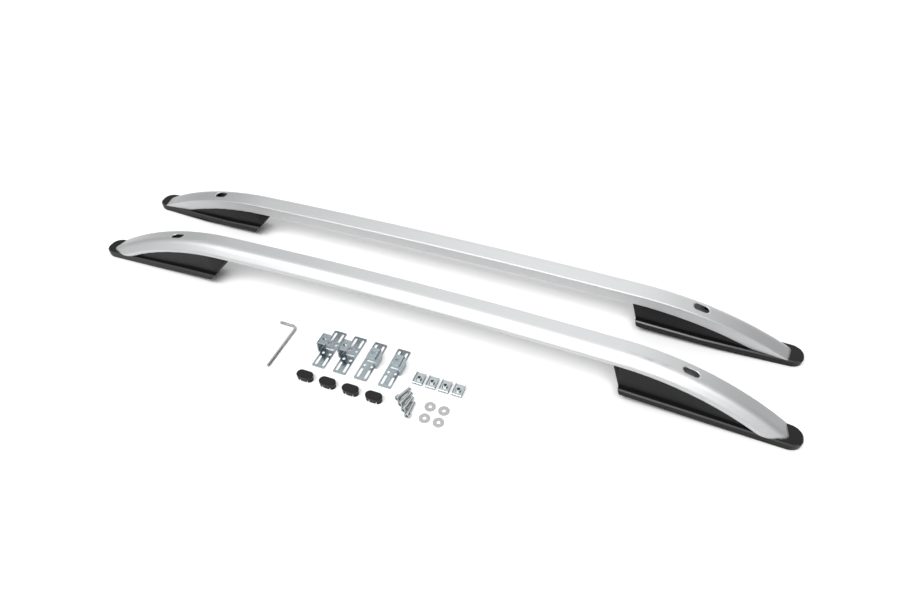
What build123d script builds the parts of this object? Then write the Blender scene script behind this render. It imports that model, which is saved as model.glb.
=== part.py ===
from build123d import *
import os
from math import acos, asin, atan, atan2, cos, degrees, hypot, radians, sin, tan

# A pair of roof side rails with their fixings laid out beside them. Millimetres and degrees.
# X runs along the rails with the front at -X, Y runs from the left rail to the right one, Z is up.

# The pair
rail_span = 1300.0          # toe to toe along one rail
pair_spacing = 176.0        # between the two bend planes at floor level, halfway along
toe_in = 0.234              # each rail turns inwards towards the front
lean = 9.8                  # each bend plane leans inboard

# Bent line of the tube's ridge, in the bend plane
crown_radius = 10600.0      # long arch, the same as the crown of the roof
crown_height = 97.3         # top of the arch above the toes
crown_peak = 42.0           # top of the arch, behind the middle
dip_radius = 550.0          # bend of both ends
tip_inset = 20.0            # point that the dips pass through, inside the toes
front_tip_height = 15.5     # the same point's height at the front
rear_tip_height = 13.7
tip_run = 14.0              # how far the bent tube runs on below the toes before it is trimmed

# Tube section: inboard ridge, flat top, soft outboard side
ridge_reach = 22.4          # ridge, inboard of the bend plane
top_width = 31.4            # ridge to the soft corner
top_fall = 2.0              # drop across the top
section_height = 26.0
belly_reach = 25.5          # outboard lower corner before it is rounded
sill_undercut = 1.8         # lower inboard corner, inside the ridge
ridge_bevel = 1.2
soft_round = 16.0
belly_round = 6.0
sill_round = 2.5
tube_wall = 2.0

# Access slots and the fixing holes below them
slot_length = 27.0
slot_width = 14.0
slot_inboard = 3.6          # slot centre, inboard of the bend plane
front_slot = 173.5          # slot centre behind the front toe
rear_slot = 184.0           # slot centre ahead of the rear toe
fixing_hole = 6.6

# Feet
front_foot_length = 250.0   # toe to inner end, at the base
rear_foot_length = 279.0
front_heel_slant = 44.0     # inner end face, from upright
rear_heel_slant = 21.5
front_foot_rise = 11.0      # inner end of the base above the toe
rear_foot_rise = 13.5
foot_width = 48.0
toe_shift = 3.0             # middle of the base at the toe, inboard of the bend plane
heel_shift = 10.5           # middle of the base at the inner end
shift_bow = 0.72            # share of that change made by halfway
nose_bulge = 6.0
nose_round = 20.0
heel_round = 4.0
gasket_thickness = 1.5
gasket_inset = 0.8
flange_height = 11.5
flange_step = 4.5           # flange proud of the panel
flange_bevel = 2.0
panel_start = 45.0          # side panels, from the toe
facet_slope = 12.0          # panels turn in beyond the base, in plan
heel_border = 4.0           # raised border of the inner end
foot_wall = 3.0
pocket_start = 84.0         # hollow underside, from the toe
fit_gap = 0.15              # moulding to tube

# Self-tapping screws between foot and tube
tapper_shank = 4.2
tapper_length = 12.0
tapper_head = 8.0
tapper_head_height = 2.6
tapper_head_bevel = 0.8
tapper_toe_side = 40.0      # from the fixing hole towards the toe
tapper_heel_inset = 27.0    # from the inner end of the base towards the toe
hole_gap = 0.15             # screw to hole, all round
head_gap = 0.05             # flat head to the curved top wall

# Roof brackets
bracket_width = 23.5
bracket_length = 84.0
bracket_sheet = 2.0
bracket_corner = 2.0
bracket_rise = 25.5
tab_reach = 4.5             # web beyond the edge of the base
shelf_width = 17.5
shelf_length = 23.0
shelf_corner = 2.5
bracket_bend = 1.8          # inside bend radius
long_slot = 20.0
long_slot_width = 5.0
long_slot_spread = 13.5
long_slot_offset = 28.0
small_hole = 5.6
small_hole_spread = 12.8
small_hole_offset = 11.0
cross_slot = 16.0
cross_slot_width = 4.4

# Caps of the access slots
cap_lip = 1.0               # lid beyond the slot, all round
cap_lid = 5.0
cap_lid_bevel = 1.4
cap_plug_depth = 8.0
cap_plug_wall = 1.5
cap_plug_gap = 0.3
cap_notch = 3.0
cap_notch_offset = 6.5
cap_snap = 0.7
cap_snap_height = 1.6

# Clip nuts
nut_width = 17.0
nut_length = 23.0
nut_sheet = 1.2
nut_throat = 2.6
nut_barrel = 9.6
nut_barrel_height = 3.2
nut_thread = 5.2
nut_lip = 2.4

# Fixing screws, washers and key
screw_size = 6.0
screw_length = 25.0
screw_head = 10.0
screw_head_height = 6.0
screw_head_bevel = 0.6
screw_tip_bevel = 0.7
socket_depth = 3.2
socket_gap = 0.1
washer_width = 18.0
washer_thickness = 1.6
washer_gap_inside = 0.2
key_size = 5.0              # across flats
key_long_arm = 95.5
key_short_arm = 32.5
key_bend = 8.0

# Layout of the loose pieces beside the left rail
rail_to_brackets = 38.5     # left rail's bend plane to the brackets' ends
bracket_gap = 15.6
last_bracket_gap = 20.3
bracket_start = -113.0      # middle of the first bracket, from the middle of the rails
bracket_to_caps = 20.0
cap_gap = 12.6
cap_start = -120.0          # middle of the first cap
bracket_to_nuts = 23.5      # last bracket to the first nut
nut_gap = 6.0
nut_row_drop = 8.0          # nuts' row, nearer than the brackets' middle
bracket_to_screws = 14.4    # last bracket to the first screw head
screw_step_x = 9.6
screw_step_y = 8.4
screw_row_drop = 59.6
screw_turn = 69.0           # first screw, from the rails' direction
screw_fan = 7.6
bracket_to_washers = 60.2   # last bracket to the first washer
washer_gap = 5.5
washer_row_drop = 52.0
key_to_brackets = 67.5      # key's long arm to the first bracket
key_row_rise = 25.0         # key's short arm, further than the brackets' middle

half_span = rail_span / 2
soft_corner = ridge_reach - top_width
base_height = gasket_thickness + flange_height
plug_length = slot_length - 2 * cap_plug_gap
plug_width = slot_width - 2 * cap_plug_gap


def bend_angle(end, tip_height):
    """Angle on the crown's arc where an end starts to dip, so that the dip passes through its tip point."""
    across = -end * (half_span - tip_inset) - crown_peak
    up = tip_height - crown_height + crown_radius
    distance = hypot(across, up)
    reach = crown_radius - dip_radius
    along = (distance**2 + reach**2 - dip_radius**2) / (2 * distance)
    return degrees(atan2(up, across)) - end * degrees(acos(along / reach))


def ridge_arcs():
    """Centre, radius, start and end angle of the ridge's three arcs, front to rear."""
    crown_z = crown_height - crown_radius
    front_angle = bend_angle(1, front_tip_height)
    rear_angle = bend_angle(-1, rear_tip_height)
    reach = crown_radius - dip_radius
    front_x = crown_peak + reach * cos(radians(front_angle))
    front_z = crown_z + reach * sin(radians(front_angle))
    rear_x = crown_peak + reach * cos(radians(rear_angle))
    rear_z = crown_z + reach * sin(radians(rear_angle))
    front_tip = 180 + degrees(asin((tip_run + front_z) / dip_radius))
    rear_tip = -degrees(asin((tip_run + rear_z) / dip_radius))
    return [
        (front_x, front_z, dip_radius, front_tip, front_angle),
        (crown_peak, crown_z, crown_radius, front_angle, rear_angle),
        (rear_x, rear_z, dip_radius, rear_angle, rear_tip),
    ]


def ridge_line():
    """The ridge as one wire, front to rear, before the bend plane is leaned."""
    edges = []
    for x, z, radius, start, end in ridge_arcs():
        edges.append(Plane.XZ * CenterArc((x, z), radius, start, end - start))
    return Wire(edges)


def ridge_place(x):
    """Frame on the ridge at x, with Z square to the tube, leaned with the rail."""
    front, crown, rear = ridge_arcs()
    arc = crown
    if x < crown_peak + crown_radius * cos(radians(crown[3])):
        arc = front
    if x > crown_peak + crown_radius * cos(radians(crown[4])):
        arc = rear
    slope = asin((x - arc[0]) / arc[2])
    height = arc[1] + arc[2] * cos(slope)
    return Rot(-lean, 0, 0) * Location((x, 0, height), (0, degrees(slope), 0))


def tube_section():
    """Outer outline of the tube, inboard to +X and up to +Y, with the ridge on the X axis."""
    rounded = [
        (soft_corner, -top_fall, soft_round),
        (-belly_reach, -section_height, belly_round),
        (ridge_reach - sill_undercut, -section_height, sill_round),
    ]
    corners = [(ridge_reach, 0)] + [(x, y) for x, y, radius in rounded]
    outline = make_face(Polyline(*corners, close=True))
    for x, y, radius in rounded:
        outline = fillet(outline.vertices().sort_by_distance((x, y, 0))[0], radius)
    return chamfer(outline.vertices().sort_by_distance((ridge_reach, 0, 0))[0], ridge_bevel)


def along_ridge(outline):
    """Sweep an outline of the tube's section along the leaned ridge."""
    path = ridge_line()
    start = Plane(origin=path @ 0, x_dir=(0, 1, 0), z_dir=path % 0)
    return Rot(-lean, 0, 0) * sweep(start * outline, path=path)


def above(level):
    """Everything above a level of the tube's section, wider and taller than the rail."""
    size = 4 * section_height
    return Pos(0, level + size / 2) * Rectangle(2 * size, size)


def foot_place(end, rise, length):
    """Frame of a foot's base: X along the rail, Z square to the base, origin at the toe."""
    return Location((-end * half_span, 0, 0), (0, -end * degrees(asin(rise / length)), 0))


def foot_middle(distance, foot_length):
    """Middle of the base, inboard of the bend plane, at a distance behind the toe."""
    share = distance / foot_length
    curve = (4 * shift_bow - 1) * share + (2 - 4 * shift_bow) * share**2
    return toe_shift + (heel_shift - toe_shift) * curve


def foot_plan(end, foot_length, first, last, inset, nose, toe_round):
    """Plan of a foot between two distances behind the toe, narrowed by an inset."""
    half = foot_width / 2 - inset
    stations = [first + nose, (first + last) / 2, last]
    near = [(x, foot_middle(x, foot_length) - half) for x in stations]
    far = [(x, foot_middle(x, foot_length) + half) for x in stations]
    edges = [Polyline(*near), Line(near[2], far[2]), Polyline(*far)]
    if nose > 0:
        edges.append(ThreePointArc(near[0], (first, foot_middle(first, foot_length)), far[0]))
    else:
        edges.append(Line(near[0], far[0]))
    plan = make_face(edges)
    plan = fillet(plan.vertices().group_by(Axis.X)[0], toe_round)
    plan = fillet(plan.vertices().group_by(Axis.X)[-1], heel_round)
    if end < 0:
        plan = mirror(plan, about=Plane.YZ)
    return plan


def make_foot(end, foot_length, heel_slant, rise, slot):
    """One foot and its gasket, in the frame of the left rail. The end is 1 at the front, -1 at the rear."""
    place = foot_place(end, rise, foot_length)
    tall = crown_height
    reach = foot_length + tall * tan(radians(heel_slant)) + section_height

    pocket_plan = foot_plan(end, foot_length, pocket_start, foot_length - 2 * flange_step - foot_wall,
                            flange_step + foot_wall, 0, heel_round)

    gasket = extrude(foot_plan(end, foot_length, gasket_inset, foot_length - gasket_inset, gasket_inset,
                               nose_bulge, nose_round), gasket_thickness)
    gasket = gasket - extrude(pocket_plan, gasket_thickness)

    slant = Vector(end * sin(radians(heel_slant)), 0, cos(radians(heel_slant)))
    heel_plane = Plane(origin=(end * foot_length, 0, 0), x_dir=slant, z_dir=slant.cross(Vector(0, end, 0)))
    flange = extrude(foot_plan(end, foot_length, 0, reach, 0, nose_bulge, nose_round), flange_height)
    flange = chamfer(flange.faces().sort_by(Axis.Z)[-1].edges(), flange_bevel)
    flange = Pos(0, 0, gasket_thickness) * flange

    panel_plan = foot_plan(end, foot_length, panel_start, reach, flange_step, 0, heel_round)
    envelope = offset(tube_section(), fit_gap, kind=Kind.INTERSECTION) + above(belly_round - section_height)
    panel = Pos(0, 0, gasket_thickness) * extrude(panel_plan, tall) - place.inverse() * along_ridge(envelope)
    for side in (-1, 1):
        edge = foot_middle(foot_length, foot_length) + side * (foot_width / 2 - flange_step / 2)
        turned = edge - side * (reach - foot_length) * tan(radians(facet_slope))
        clear = edge + side * foot_width
        facet = make_face(Polyline(
            (end * foot_length, edge), (end * reach, turned), (end * reach, clear), (end * foot_length, clear),
            close=True))
        facet = extrude(facet, 2 * tall, both=True)
        panel = panel - split(facet, bisect_by=heel_plane.offset(heel_border), keep=Keep.TOP)
    body = place * split(flange + panel, bisect_by=heel_plane, keep=Keep.TOP)

    pocket = place * extrude(pocket_plan, tall)
    pocket = pocket - along_ridge(above(-section_height - fit_gap - foot_wall))
    foot = body - pocket
    through = ridge_place(end * (slot - half_span)) * Pos(0, slot_inboard, -section_height)
    foot = foot - through * Cylinder(fixing_hole / 2, 4 * foot_wall)
    for hole in tapper_places(end, slot, foot_length):
        foot = foot - hole * Cylinder(tapper_shank / 2 + hole_gap, 4 * foot_wall)
    return foot, place * gasket


def tapper_places(end, slot, foot_length):
    """Frames of a foot's self-tapping screws, on the tube's lower face, Z up into the tube."""
    stations = [slot - tapper_toe_side, foot_length - tapper_heel_inset]
    return [ridge_place(end * (x - half_span)) * Pos(0, slot_inboard, -section_height) for x in stations]


def make_tapper():
    """One self-tapping screw, its head seated under the foot's top wall."""
    head_top = -fit_gap - foot_wall - head_gap
    head = Pos(0, 0, head_top - tapper_head_height / 2) * Cylinder(tapper_head / 2, tapper_head_height)
    head = chamfer(head.edges().sort_by(Axis.Z)[0], tapper_head_bevel)
    return head + Pos(0, 0, head_top + tapper_length / 2) * Cylinder(tapper_shank / 2, tapper_length)


def make_tube():
    """The bent tube of the left rail, trimmed to its feet, with its slots and holes."""
    tube = along_ridge(tube_section()) - along_ridge(offset(tube_section(), -tube_wall))
    for end, slot, rise, length in ends:
        below = Box(2 * length, 4 * foot_width, 2 * crown_height, align=(Align.CENTER, Align.CENTER, Align.MAX))
        tube = tube - foot_place(end, rise, length) * Pos(0, 0, base_height) * below
        top = ridge_place(end * (slot - half_span)) * Pos(0, slot_inboard, 0)
        opening = extrude(SlotOverall(slot_length, slot_width), section_height / 2, both=True)
        tube = tube - top * opening
        tube = tube - top * Pos(0, 0, -section_height) * Cylinder(fixing_hole / 2, 4 * tube_wall)
        for hole in tapper_places(end, slot, length):
            tube = tube - hole * Cylinder(tapper_shank / 2 + hole_gap, 4 * tube_wall)
    return tube


def make_bracket():
    """One roof bracket standing on its base, its web on the -X side and its length along Y."""
    base = Box(bracket_width, bracket_length, bracket_sheet, align=(Align.CENTER, Align.CENTER, Align.MIN))
    base = fillet(base.edges().filter_by(Axis.Z), bracket_corner)
    outside = -bracket_width / 2 - tab_reach
    inside = outside + bracket_sheet
    shelf_end = outside + shelf_width
    shelf_under = bracket_rise - bracket_sheet
    profile = make_face(Polyline(
        (0, 0), (outside, 0), (outside, bracket_rise), (shelf_end, bracket_rise),
        (shelf_end, shelf_under), (inside, shelf_under), (inside, bracket_sheet), (0, bracket_sheet), close=True))
    for x, z in ((outside, 0), (outside, bracket_rise)):
        profile = fillet(profile.vertices().sort_by_distance((x, z, 0))[0], bracket_bend + bracket_sheet)
    for x, z in ((inside, shelf_under), (inside, bracket_sheet)):
        profile = fillet(profile.vertices().sort_by_distance((x, z, 0))[0], bracket_bend)
    arm = extrude(Plane.XZ * profile, shelf_length / 2, both=True)
    arm = fillet(arm.edges().filter_by(Axis.Z).group_by(Axis.Z)[-1], shelf_corner)
    bracket = base + arm
    through = 4 * bracket_sheet
    for side in (-1, 1):
        for half in (-1, 1):
            slot = extrude(SlotOverall(long_slot, long_slot_width, rotation=90), through, both=True)
            bracket = bracket - Pos(side * long_slot_spread / 2, half * long_slot_offset, 0) * slot
            hole = Cylinder(small_hole / 2, through)
            bracket = bracket - Pos(side * small_hole_spread / 2, half * small_hole_offset, 0) * hole
    bracket = bracket - extrude(SlotOverall(cross_slot, cross_slot_width), through / 2, both=True)
    bolt = Pos((inside + shelf_end) / 2, 0, bracket_rise) * Cylinder(fixing_hole / 2, through)
    return bracket - bolt


def make_cap():
    """One slot cap standing on its legs, its length along X."""
    lid = extrude(SlotOverall(slot_length + 2 * cap_lip, slot_width + 2 * cap_lip), cap_lid)
    lid = chamfer(lid.edges().group_by(Axis.Z)[-1], cap_lid_bevel)
    cap = Pos(0, 0, cap_plug_depth) * lid
    skirt = SlotOverall(plug_length, plug_width)
    skirt = skirt - SlotOverall(plug_length - 2 * cap_plug_wall, plug_width - 2 * cap_plug_wall)
    legs = extrude(skirt, cap_plug_depth)
    snap = SlotOverall(plug_length + 2 * cap_snap, plug_width) - SlotOverall(plug_length, plug_width)
    legs = legs + Pos(0, 0, cap_snap_height / 2) * extrude(snap, cap_snap_height)
    for side in (-1, 1):
        notch = Box(cap_notch, 2 * slot_width, 2 * (cap_plug_depth - cap_plug_wall))
        legs = legs - Pos(side * cap_notch_offset, 0, 0) * notch
    return cap + legs


def make_clip_nut():
    """One clip nut lying on its lower leaf, its fold towards -Y."""
    outside = nut_throat + 2 * nut_sheet
    fold = outside / 2
    leaf_end = nut_length - fold
    outer = Pos(0, fold) * Circle(fold) + Pos(leaf_end / 2, fold) * Rectangle(leaf_end, outside)
    inner = Pos(0, fold) * Circle(nut_throat / 2) + Pos(leaf_end / 2, fold) * Rectangle(leaf_end, nut_throat)
    sheet = extrude(Plane.YZ * (outer - inner), nut_width / 2, both=True)
    sheet = Pos(0, fold - nut_length / 2, 0) * sheet
    for side in (-1, 1):
        lip = Box(nut_sheet, leaf_end, nut_lip, align=(Align.CENTER, Align.MAX, Align.MIN))
        sheet = sheet + Pos(side * (nut_width - nut_sheet) / 2, nut_length / 2, outside) * lip
    barrel = Cylinder(nut_barrel / 2, nut_barrel_height + nut_sheet, align=(Align.CENTER, Align.CENTER, Align.MIN))
    nut = sheet + Pos(0, 0, outside - nut_sheet) * barrel
    return nut - Cylinder(nut_thread / 2, 4 * outside)


def make_screw():
    """One socket-head screw lying on the floor along X, resting on its head and its tip."""
    head = Pos(0, 0, screw_head_height / 2) * Cylinder(screw_head / 2, screw_head_height)
    head = chamfer(head.edges().sort_by(Axis.Z)[0], screw_head_bevel)
    shank = Cylinder(screw_size / 2, screw_length, align=(Align.CENTER, Align.CENTER, Align.MIN))
    shank = chamfer(shank.edges().sort_by(Axis.Z)[-1], screw_tip_bevel)
    screw = head + Pos(0, 0, screw_head_height) * shank
    socket = RegularPolygon(key_size / 2 + socket_gap, 6, major_radius=False)
    screw = screw - extrude(socket, socket_depth)
    tip = screw_head_height + screw_length - screw_tip_bevel
    tilt = atan((screw_head - screw_size) / 2 / (tip - screw_head_height))
    lift = screw_head_height * sin(tilt) + screw_head / 2 * cos(tilt)
    return Pos(0, 0, lift) * Rot(0, 90 + degrees(tilt), 0) * screw


def make_washer():
    """One flat washer lying on the floor."""
    ring = Circle(washer_width / 2) - Circle(screw_size / 2 + washer_gap_inside)
    return extrude(ring, washer_thickness)


def make_key():
    """The hex key lying on the floor, its bend at the origin, long arm to -Y and short arm to -X."""
    height = key_size / 2
    path = FilletPolyline((0, -key_long_arm, height), (0, 0, height), (-key_short_arm, 0, height), radius=key_bend)
    start = Plane(origin=(0, -key_long_arm, height), x_dir=(1, 0, 0), z_dir=(0, 1, 0))
    return sweep(start * RegularPolygon(key_size / 2, 6, major_radius=False), path=path)


ends = [
    (1, front_slot, front_foot_rise, front_foot_length),
    (-1, rear_slot, rear_foot_rise, rear_foot_length),
]

# The left rail in its own frame, then set beside the middle of the pair; the right one mirrors it
left_place = Location((0, -pair_spacing / 2, 0), (0, 0, -toe_in))
front_foot, front_gasket = make_foot(1, front_foot_length, front_heel_slant, front_foot_rise, front_slot)
rear_foot, rear_gasket = make_foot(-1, rear_foot_length, rear_heel_slant, rear_foot_rise, rear_slot)
left_pieces = {
    "rail": make_tube(),
    "front_foot": front_foot,
    "rear_foot": rear_foot,
    "front_gasket": front_gasket,
    "rear_gasket": rear_gasket,
}
pieces = {}
for name, shape in left_pieces.items():
    pieces["left_" + name] = left_place * shape
    pieces["right_" + name] = mirror(left_place * shape, about=Plane.XZ)

tappers = []
for end, slot, rise, length in ends:
    for place in tapper_places(end, slot, length):
        tapper = left_place * place * make_tapper()
        tappers.append(tapper)
        tappers.append(mirror(tapper, about=Plane.XZ))
pieces["foot_screws"] = tappers

# Loose pieces on the floor beside the left rail
bracket_y = -pair_spacing / 2 - rail_to_brackets - bracket_length / 2
bracket_names = ["left_front_bracket", "left_rear_bracket", "right_front_bracket", "right_rear_bracket"]
bracket_x = bracket_start
for gap, name in zip([0, bracket_gap, bracket_gap, last_bracket_gap], bracket_names):
    bracket = make_bracket()
    if name.startswith("right"):
        bracket = mirror(bracket, about=Plane.YZ)
    if gap > 0:
        bracket_x = bracket_x + bracket_width + gap
    pieces[name] = Pos(bracket_x, bracket_y, 0) * bracket
bracket_edge = bracket_x + bracket_width / 2 + tab_reach

cap_length = slot_length + 2 * cap_lip
cap_y = bracket_y - bracket_length / 2 - bracket_to_caps - slot_width / 2 - cap_lip
for index, name in enumerate(["left_front_cap", "left_rear_cap", "right_front_cap", "right_rear_cap"]):
    pieces[name] = Pos(cap_start + index * (cap_length + cap_gap), cap_y, 0) * make_cap()

nuts = []
for index in range(4):
    nut_x = bracket_edge + bracket_to_nuts + nut_width / 2 + index * (nut_width + nut_gap)
    nuts.append(Pos(nut_x, bracket_y - nut_row_drop, 0) * make_clip_nut())
pieces["clip_nuts"] = nuts

screws = []
for index in range(4):
    screw_x = bracket_edge + bracket_to_screws + index * screw_step_x
    screw_y = bracket_y - screw_row_drop - index * screw_step_y
    turn = screw_turn + index * screw_fan
    screws.append(Location((screw_x, screw_y, 0), (0, 0, turn)) * make_screw())
pieces["fixing_screws"] = screws

washers = []
washer_step = washer_width + washer_gap
for row in range(2):
    for column in range(2):
        washer_x = bracket_edge + bracket_to_washers + washer_width / 2 + column * washer_step
        washer_y = bracket_y - washer_row_drop - row * washer_step
        washers.append(Pos(washer_x, washer_y, 0) * make_washer())
pieces["washers"] = washers

key_x = bracket_start - bracket_width / 2 - key_to_brackets
pieces["hex_key"] = Pos(key_x, bracket_y + key_row_rise, 0) * make_key()

# The origin moves to the middle of the bottom of the whole layout
corners = []
for shape in pieces.values():
    for solid in shape if isinstance(shape, list) else [shape]:
        box = solid.bounding_box()
        corners.append(box.min)
        corners.append(box.max)
shift = Pos(
    -(min(corner.X for corner in corners) + max(corner.X for corner in corners)) / 2,
    -(min(corner.Y for corner in corners) + max(corner.Y for corner in corners)) / 2,
    -min(corner.Z for corner in corners),
)

os.makedirs("parts", exist_ok=True)
for name, shape in pieces.items():
    if isinstance(shape, list):
        shape = Compound(children=[shift * solid for solid in shape])
    else:
        shape = shift * shape
    export_step(shape, f"parts/{name}.step")
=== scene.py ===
import math

import bpy
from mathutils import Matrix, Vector


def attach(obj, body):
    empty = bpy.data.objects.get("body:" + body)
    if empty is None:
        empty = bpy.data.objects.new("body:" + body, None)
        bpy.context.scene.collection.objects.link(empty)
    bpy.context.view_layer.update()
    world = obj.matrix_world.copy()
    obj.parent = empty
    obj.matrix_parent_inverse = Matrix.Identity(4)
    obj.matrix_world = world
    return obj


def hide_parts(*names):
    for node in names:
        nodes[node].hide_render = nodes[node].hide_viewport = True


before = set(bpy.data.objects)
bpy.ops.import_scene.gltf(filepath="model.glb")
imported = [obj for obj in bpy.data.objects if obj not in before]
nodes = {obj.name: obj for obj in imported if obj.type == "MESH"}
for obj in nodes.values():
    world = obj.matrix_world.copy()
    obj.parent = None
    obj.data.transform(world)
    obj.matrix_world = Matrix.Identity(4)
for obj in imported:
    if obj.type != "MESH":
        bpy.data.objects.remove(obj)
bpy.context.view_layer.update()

# Camera
# Stands in front of the rails' rear half and looks down on them at about 45 degrees,
# with a lens wide enough for the whole pair and its loose fixings.
camera = bpy.data.objects.new("camera", bpy.data.cameras.new("camera"))
bpy.context.scene.collection.objects.link(camera)
camera.data.sensor_width = 36.0
camera.data.lens = 25.83
camera.location = (0.3574, -0.7200, 0.8583)
camera.rotation_euler = (math.radians(44.8), 0.0, math.radians(20.39))
camera.data.clip_start = 0.01
camera.data.clip_end = 50.0
bpy.context.scene.camera = camera
bpy.context.scene.view_settings.view_transform = "Standard"

# Floor
# A wide painted studio floor in white, faintly uneven in tone.
# It is a little paler far out, where less of the key light reaches it.
bpy.ops.mesh.primitive_plane_add(size=14.0, location=(0.0, 0.0, 0.0))
floor = bpy.context.object
floor.name = "floor"
floor_paint = bpy.data.materials.new("floor_paint")
floor_paint.use_nodes = True
tree = floor_paint.node_tree
shader = tree.nodes["Principled BSDF"]
shader.inputs["Roughness"].default_value = 0.9
shader.inputs["Specular IOR Level"].default_value = 0.1
place = tree.nodes.new("ShaderNodeTexCoord")
grain = tree.nodes.new("ShaderNodeTexNoise")
grain.inputs["Scale"].default_value = 3.0
tone = tree.nodes.new("ShaderNodeMix")
tone.data_type = "RGBA"
tone.inputs["A"].default_value = (0.772, 0.772, 0.772, 1.0)
tone.inputs["B"].default_value = (0.807, 0.807, 0.807, 1.0)
away = tree.nodes.new("ShaderNodeVectorMath")
away.operation = "LENGTH"
lift = tree.nodes.new("ShaderNodeMapRange")
lift.inputs["From Min"].default_value = 0.7
lift.inputs["From Max"].default_value = 1.8
lift.inputs["To Min"].default_value = 1.0
lift.inputs["To Max"].default_value = 1.22
paler = tree.nodes.new("ShaderNodeVectorMath")
paler.operation = "SCALE"
tree.links.new(place.outputs["Object"], grain.inputs["Vector"])
tree.links.new(grain.outputs["Fac"], tone.inputs["Factor"])
tree.links.new(place.outputs["Object"], away.inputs[0])
tree.links.new(away.outputs["Value"], lift.inputs["Value"])
tree.links.new(tone.outputs["Result"], paler.inputs["Vector"])
tree.links.new(lift.outputs["Result"], paler.inputs["Scale"])
tree.links.new(paler.outputs["Vector"], shader.inputs["Base Color"])
floor.data.materials.append(floor_paint)

# Studio walls
# A plain white room that the satin tubes mirror softly. Its back wall is brightest in the middle and
# fades to both sides, and its front wall is lit up to a dark ceiling.
world = bpy.data.worlds.new("studio")
bpy.context.scene.world = world
world.use_nodes = True
tree = world.node_tree
sky = tree.nodes["Background"]
sky.inputs["Strength"].default_value = 1.0
place = tree.nodes.new("ShaderNodeTexCoord")
axes = tree.nodes.new("ShaderNodeSeparateXYZ")
across = tree.nodes.new("ShaderNodeMapRange")
across.inputs["From Min"].default_value = -1.0
across.inputs["From Max"].default_value = 1.0
back_wall = tree.nodes.new("ShaderNodeValToRGB")
stops = back_wall.color_ramp.elements
corner_grey = (0.36, 0.36, 0.37, 1.0)
for stop, position in zip(stops, (0.0, 1.0)):
    stop.position = position
    stop.color = corner_grey
for position, level in ((0.18, 0.42), (0.30, 1.18), (0.50, 1.62), (0.66, 0.94), (0.78, 0.42)):
    stop = stops.new(position)
    stop.color = (level, level, level, 1.0)
towards = tree.nodes.new("ShaderNodeMapRange")
towards.interpolation_type = "SMOOTHSTEP"
towards.inputs["From Min"].default_value = 0.05
towards.inputs["From Max"].default_value = -0.45
front_wall = tree.nodes.new("ShaderNodeMapRange")
front_wall.interpolation_type = "SMOOTHSTEP"
front_wall.inputs["From Min"].default_value = 0.66
front_wall.inputs["From Max"].default_value = 0.86
front_wall.inputs["To Min"].default_value = 0.66
front_wall.inputs["To Max"].default_value = 0.15
room = tree.nodes.new("ShaderNodeMix")
room.data_type = "RGBA"
tree.links.new(place.outputs["Generated"], axes.inputs["Vector"])
tree.links.new(axes.outputs["X"], across.inputs["Value"])
tree.links.new(across.outputs["Result"], back_wall.inputs["Fac"])
tree.links.new(axes.outputs["Y"], towards.inputs["Value"])
tree.links.new(axes.outputs["Z"], front_wall.inputs["Value"])
tree.links.new(towards.outputs["Result"], room.inputs["Factor"])
tree.links.new(back_wall.outputs["Color"], room.inputs["A"])
tree.links.new(front_wall.outputs["Result"], room.inputs["B"])
tree.links.new(room.outputs["Result"], sky.inputs["Color"])

# Key light
# A long soft box, high above and in front of the rails, so that their soft shadows lie just behind
# and below them.
key = bpy.data.objects.new("key", bpy.data.lights.new("key", "AREA"))
bpy.context.scene.collection.objects.link(key)
key.data.shape = "RECTANGLE"
key.data.size = 5.0
key.data.size_y = 2.0
key.data.energy = 255.0
key.location = (-0.3, -2.2, 4.0)
key.rotation_euler = (Vector((0.0, 0.0, 0.0)) - key.location).to_track_quat("-Z", "Y").to_euler()

# Rails
# Bent extruded aluminium tube, satin silver anodised, with long and very fine drawing marks.
# One tube on each side, its ends trimmed to the feet. Its ridge and edges shade as small rounds.
edge_shading = 0.004
anodising = bpy.data.materials.new("rail")
anodising.use_nodes = True
tree = anodising.node_tree
shader = tree.nodes["Principled BSDF"]
shader.inputs["Metallic"].default_value = 1.0
place = tree.nodes.new("ShaderNodeTexCoord")
stretch = tree.nodes.new("ShaderNodeMapping")
stretch.inputs["Scale"].default_value = (6.0, 900.0, 900.0)
marks = tree.nodes.new("ShaderNodeTexNoise")
marks.inputs["Scale"].default_value = 1.0
marks.inputs["Detail"].default_value = 3.0
tone = tree.nodes.new("ShaderNodeMix")
tone.data_type = "RGBA"
tone.inputs["A"].default_value = (0.55, 0.555, 0.56, 1.0)
tone.inputs["B"].default_value = (0.61, 0.615, 0.62, 1.0)
gloss = tree.nodes.new("ShaderNodeMapRange")
gloss.inputs["To Min"].default_value = 0.46
gloss.inputs["To Max"].default_value = 0.54
rounds = tree.nodes.new("ShaderNodeBevel")
rounds.samples = 8
rounds.inputs["Radius"].default_value = edge_shading
tree.links.new(place.outputs["Object"], stretch.inputs["Vector"])
tree.links.new(stretch.outputs["Vector"], marks.inputs["Vector"])
tree.links.new(marks.outputs["Fac"], tone.inputs["Factor"])
tree.links.new(tone.outputs["Result"], shader.inputs["Base Color"])
tree.links.new(marks.outputs["Fac"], gloss.inputs["Value"])
tree.links.new(gloss.outputs["Result"], shader.inputs["Roughness"])
tree.links.new(rounds.outputs["Normal"], shader.inputs["Normal"])
for name in ("left_rail", "right_rail"):
    nodes[name].data.materials.clear()
    nodes[name].data.materials.append(anodising)

# Feet
# Long black moulded covers under the tube's ends, with a fine spark-eroded grain, sunk side panels
# and a polished chamfer along the rim. Each is screwed up into the tube and closes on the roof.
foot_edge = 0.0005
panel_sink = 0.0027         # side panels, inwards
sliver_front = -0.0005      # points from this far in front of a panel ...
sliver_back = 0.00275       # ... to this far behind it go in with it
panel_base = 0.03           # panels reach above this height
large_panel = 0.001         # square metres; the others are edge strips


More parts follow.
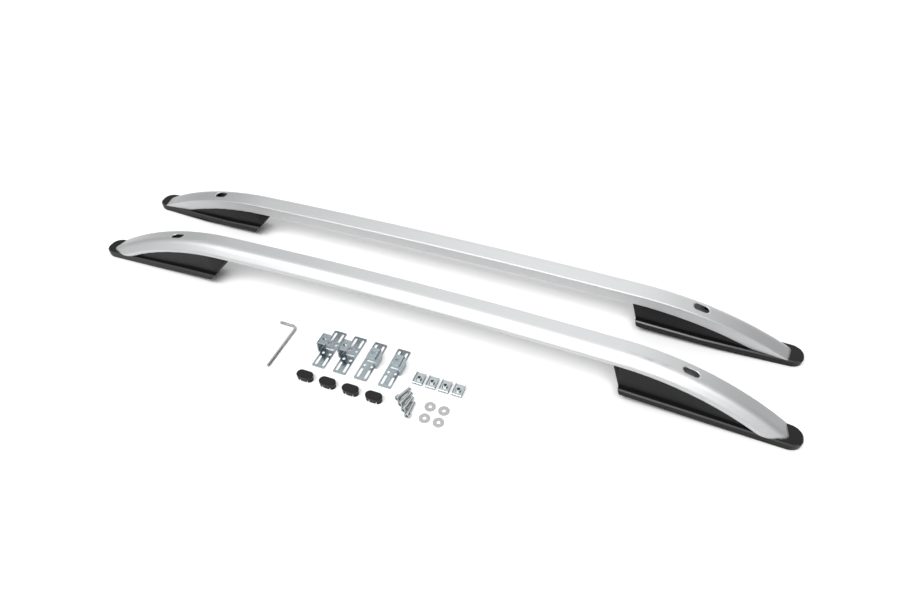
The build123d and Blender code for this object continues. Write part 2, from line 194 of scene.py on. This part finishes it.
def black_moulding(title, dark, light, rough):
    """Grained black moulding, glossier where the piece's polish attribute is 1."""
    plastic = bpy.data.materials.new(title)
    plastic.use_nodes = True
    tree = plastic.node_tree
    shader = tree.nodes["Principled BSDF"]
    polish = tree.nodes.new("ShaderNodeAttribute")
    polish.attribute_name = "polish"
    gloss = tree.nodes.new("ShaderNodeMapRange")
    gloss.inputs["To Min"].default_value = rough
    gloss.inputs["To Max"].default_value = 0.28
    shine = tree.nodes.new("ShaderNodeMapRange")
    shine.inputs["To Min"].default_value = 0.22
    shine.inputs["To Max"].default_value = 1.0
    place = tree.nodes.new("ShaderNodeTexCoord")
    grain = tree.nodes.new("ShaderNodeTexNoise")
    grain.inputs["Scale"].default_value = 1400.0
    grain.inputs["Detail"].default_value = 2.0
    tone = tree.nodes.new("ShaderNodeMix")
    tone.data_type = "RGBA"
    tone.inputs["A"].default_value = (dark, dark, dark * 1.04, 1.0)
    tone.inputs["B"].default_value = (light, light, light * 1.04, 1.0)
    relief = tree.nodes.new("ShaderNodeBump")
    relief.inputs["Strength"].default_value = 0.12
    relief.inputs["Distance"].default_value = 0.0002
    tree.links.new(polish.outputs["Fac"], gloss.inputs["Value"])
    tree.links.new(polish.outputs["Fac"], shine.inputs["Value"])
    tree.links.new(gloss.outputs["Result"], shader.inputs["Roughness"])
    tree.links.new(shine.outputs["Result"], shader.inputs["Specular IOR Level"])
    tree.links.new(place.outputs["Object"], grain.inputs["Vector"])
    tree.links.new(grain.outputs["Fac"], tone.inputs["Factor"])
    tree.links.new(tone.outputs["Result"], shader.inputs["Base Color"])
    tree.links.new(grain.outputs["Fac"], relief.inputs["Height"])
    tree.links.new(relief.outputs["Normal"], shader.inputs["Normal"])
    return plastic


def soft_edged(name, edge_round, finish):
    """A copy of a node with its loose triangles joined and its sharp edges rounded."""
    bpy.ops.object.select_all(action="DESELECT")
    piece = bpy.data.objects.new(name + "_soft", nodes[name].data.copy())
    bpy.context.scene.collection.objects.link(piece)
    piece.select_set(True)
    bpy.context.view_layer.objects.active = piece
    bpy.ops.object.mode_set(mode="EDIT")
    bpy.ops.mesh.select_all(action="SELECT")
    bpy.ops.mesh.customdata_custom_splitnormals_clear()
    bpy.ops.mesh.remove_doubles(threshold=0.00001)
    bpy.ops.mesh.dissolve_limited(angle_limit=math.radians(0.4))
    bpy.ops.object.mode_set(mode="OBJECT")
    bpy.ops.object.shade_smooth()
    rounding = piece.modifiers.new("rounding", "BEVEL")
    rounding.width = edge_round
    rounding.segments = 2
    rounding.limit_method = "ANGLE"
    rounding.angle_limit = math.radians(28.0)
    rounding.harden_normals = True
    piece.data.materials.clear()
    piece.data.materials.append(finish)
    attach(piece, "root")
    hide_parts(name)
    return piece


def edit_points(piece, points):
    """Opens a piece in edit mode with only these points selected."""
    bpy.ops.object.select_all(action="DESELECT")
    piece.select_set(True)
    bpy.context.view_layer.objects.active = piece
    bpy.ops.object.mode_set(mode="EDIT")
    bpy.ops.mesh.select_mode(type="VERT")
    bpy.ops.mesh.select_all(action="DESELECT")
    bpy.ops.object.mode_set(mode="OBJECT")
    for point in points:
        piece.data.vertices[point].select = True
    bpy.ops.object.mode_set(mode="EDIT")


def narrowed_nose(piece, end):
    """Draws the nose of a foot or a seal in, fading out behind the tube's tip."""
    nose_start = 0.642          # along X from the middle of the pair
    nose_pivot = 0.6
    tip = [vertex for vertex in piece.data.vertices if end * vertex.co.x > nose_start]
    middle = (min(vertex.co.y for vertex in tip) + max(vertex.co.y for vertex in tip)) / 2
    edit_points(piece, [vertex.index for vertex in tip])
    bpy.ops.transform.resize(
        value=(0.96, 0.82, 1.0),
        center_override=(end * nose_pivot, middle, 0.0),
        use_proportional_edit=True,
        proportional_edit_falloff="SMOOTH",
        proportional_size=0.05,
    )
    bpy.ops.object.mode_set(mode="OBJECT")


def side_panel(foot, side):
    """Points of a foot's outer panel on one side, with those of the slivers just behind it."""
    vertices = foot.data.vertices
    middle = sum(corner[1] for corner in foot.bound_box) / 8
    points = set()
    for face in foot.data.polygons:
        corners = [vertices[i].co for i in face.vertices]
        outer = side * face.normal.y > 0.9 and side * (face.center.y - middle) > 0
        if not outer or max(corner.z for corner in corners) < panel_base:
            continue
        points.update(face.vertices)
        if face.area > large_panel:
            first = min(corner.x for corner in corners)
            last = max(corner.x for corner in corners)
            for vertex in vertices:
                depth = (face.center - vertex.co).dot(face.normal)
                if first <= vertex.co.x <= last and sliver_front < depth < sliver_back:
                    points.add(vertex.index)
    return points


moulding = black_moulding("foot", 0.003, 0.006, 0.38)
for name in ("left_front_foot", "left_rear_foot", "right_front_foot", "right_rear_foot"):
    foot = soft_edged(name, foot_edge, moulding)
    for side in (-1, 1):
        edit_points(foot, side_panel(foot, side))
        bpy.ops.transform.translate(value=(0.0, -side * panel_sink, 0.0))
        bpy.ops.object.mode_set(mode="OBJECT")
    narrowed_nose(foot, -1 if "front" in name else 1)
    polish = foot.data.attributes.new("polish", "FLOAT", "FACE")
    for face, mark in zip(foot.data.polygons, polish.data):
        mark.value = float(0.6 < face.normal.z < 0.8 and abs(face.normal.y) > 0.6)

# Gaskets
# Thin seals of matt black rubber, cut to the rims of the feet.
# They are pressed between the feet and the roof and take the same narrowed noses.
gasket_edge = 0.0002
rubber = black_moulding("gasket", 0.006, 0.010, 0.8)
for name in ("left_front_gasket", "left_rear_gasket", "right_front_gasket", "right_rear_gasket"):
    gasket = soft_edged(name, gasket_edge, rubber)
    narrowed_nose(gasket, -1 if "front" in name else 1)

# Caps
# Black moulded plugs that snap into the access slots over the fixing screws.
# Here they are taken out and stand on their legs.
cap_edge = 0.0004
cap_moulding = black_moulding("cap", 0.005, 0.009, 0.30)
for name in ("left_front_cap", "left_rear_cap", "right_front_cap", "right_rear_cap"):
    soft_edged(name, cap_edge, cap_moulding)

# Brackets
# Pressed steel sheet, bright zinc plated with the cloudy spangle of the plating.
# Two left and two right, standing on their slotted bases, which bolt to the roof.
sheet_edge = 0.0003


def plated_steel(title, dark, light, rough, cloud_scale):
    """Zinc plated steel, clouded between two tones and two degrees of gloss."""
    steel = bpy.data.materials.new(title)
    steel.use_nodes = True
    tree = steel.node_tree
    shader = tree.nodes["Principled BSDF"]
    shader.inputs["Metallic"].default_value = 1.0
    place = tree.nodes.new("ShaderNodeTexCoord")
    cloud = tree.nodes.new("ShaderNodeTexNoise")
    cloud.inputs["Scale"].default_value = cloud_scale
    cloud.inputs["Detail"].default_value = 4.0
    tone = tree.nodes.new("ShaderNodeMix")
    tone.data_type = "RGBA"
    tone.inputs["A"].default_value = (*dark, 1.0)
    tone.inputs["B"].default_value = (*light, 1.0)
    gloss = tree.nodes.new("ShaderNodeMapRange")
    gloss.inputs["To Min"].default_value = rough - 0.06
    gloss.inputs["To Max"].default_value = rough + 0.08
    tree.links.new(place.outputs["Object"], cloud.inputs["Vector"])
    tree.links.new(cloud.outputs["Fac"], tone.inputs["Factor"])
    tree.links.new(tone.outputs["Result"], shader.inputs["Base Color"])
    tree.links.new(cloud.outputs["Fac"], gloss.inputs["Value"])
    tree.links.new(gloss.outputs["Result"], shader.inputs["Roughness"])
    return steel


bracket_plating = plated_steel("bracket", (0.19, 0.235, 0.255), (0.44, 0.49, 0.515), 0.24, 300.0)
for name in ("left_front_bracket", "left_rear_bracket", "right_front_bracket", "right_rear_bracket"):
    soft_edged(name, sheet_edge, bracket_plating)

# Clip nuts
# Folded spring sheet with a threaded barrel, zinc plated.
# They slip over the brackets' flanges and take the fixing screws.
nut_edge = 0.0002
nut_plating = plated_steel("clip_nut", (0.24, 0.28, 0.29), (0.58, 0.62, 0.63), 0.24, 420.0)
soft_edged("clip_nuts", nut_edge, nut_plating)

# Fixing screws
# Cold-headed socket screws, zinc plated, which go in through the access slots.
# Here they lie on their heads and tips.
screw_edge = 0.0002
# The speckle runs from near black to near white, well beyond the plating's own cloud. It is partly
# plating tone and partly painted highlight and painted shade, standing in for the glints and dark
# valleys of threads the screws are not modelled with.
screw_plating_and_painted_glints = plated_steel("screw", (0.14, 0.17, 0.17), (0.74, 0.77, 0.77), 0.20, 900.0)
soft_edged("fixing_screws", screw_edge, screw_plating_and_painted_glints)

# Foot screws
# Pan-head tapping screws of zinc plated steel, driven up through the feet into the tubes.
# They show only from below.
tapper_edge = 0.0002
tapper_plating = plated_steel("foot_screw", (0.36, 0.38, 0.39), (0.46, 0.48, 0.49), 0.35, 320.0)
soft_edged("foot_screws", tapper_edge, tapper_plating)

# Washers
# Flat rings punched from steel sheet, in dull zinc plate.
# They go under the heads of the fixing screws.
washer_edge = 0.0002
washer_plating = plated_steel("washer", (0.33, 0.33, 0.34), (0.52, 0.52, 0.53), 0.48, 520.0)
soft_edged("washers", washer_edge, washer_plating)

# Hex key
# Hexagon steel bar, bent cold to an L and bright plated.
# It turns the fixing screws.
key_edge = 0.0003
key_plating = plated_steel("key", (0.38, 0.39, 0.40), (0.58, 0.59, 0.60), 0.14, 200.0)
soft_edged("hex_key", key_edge, key_plating)
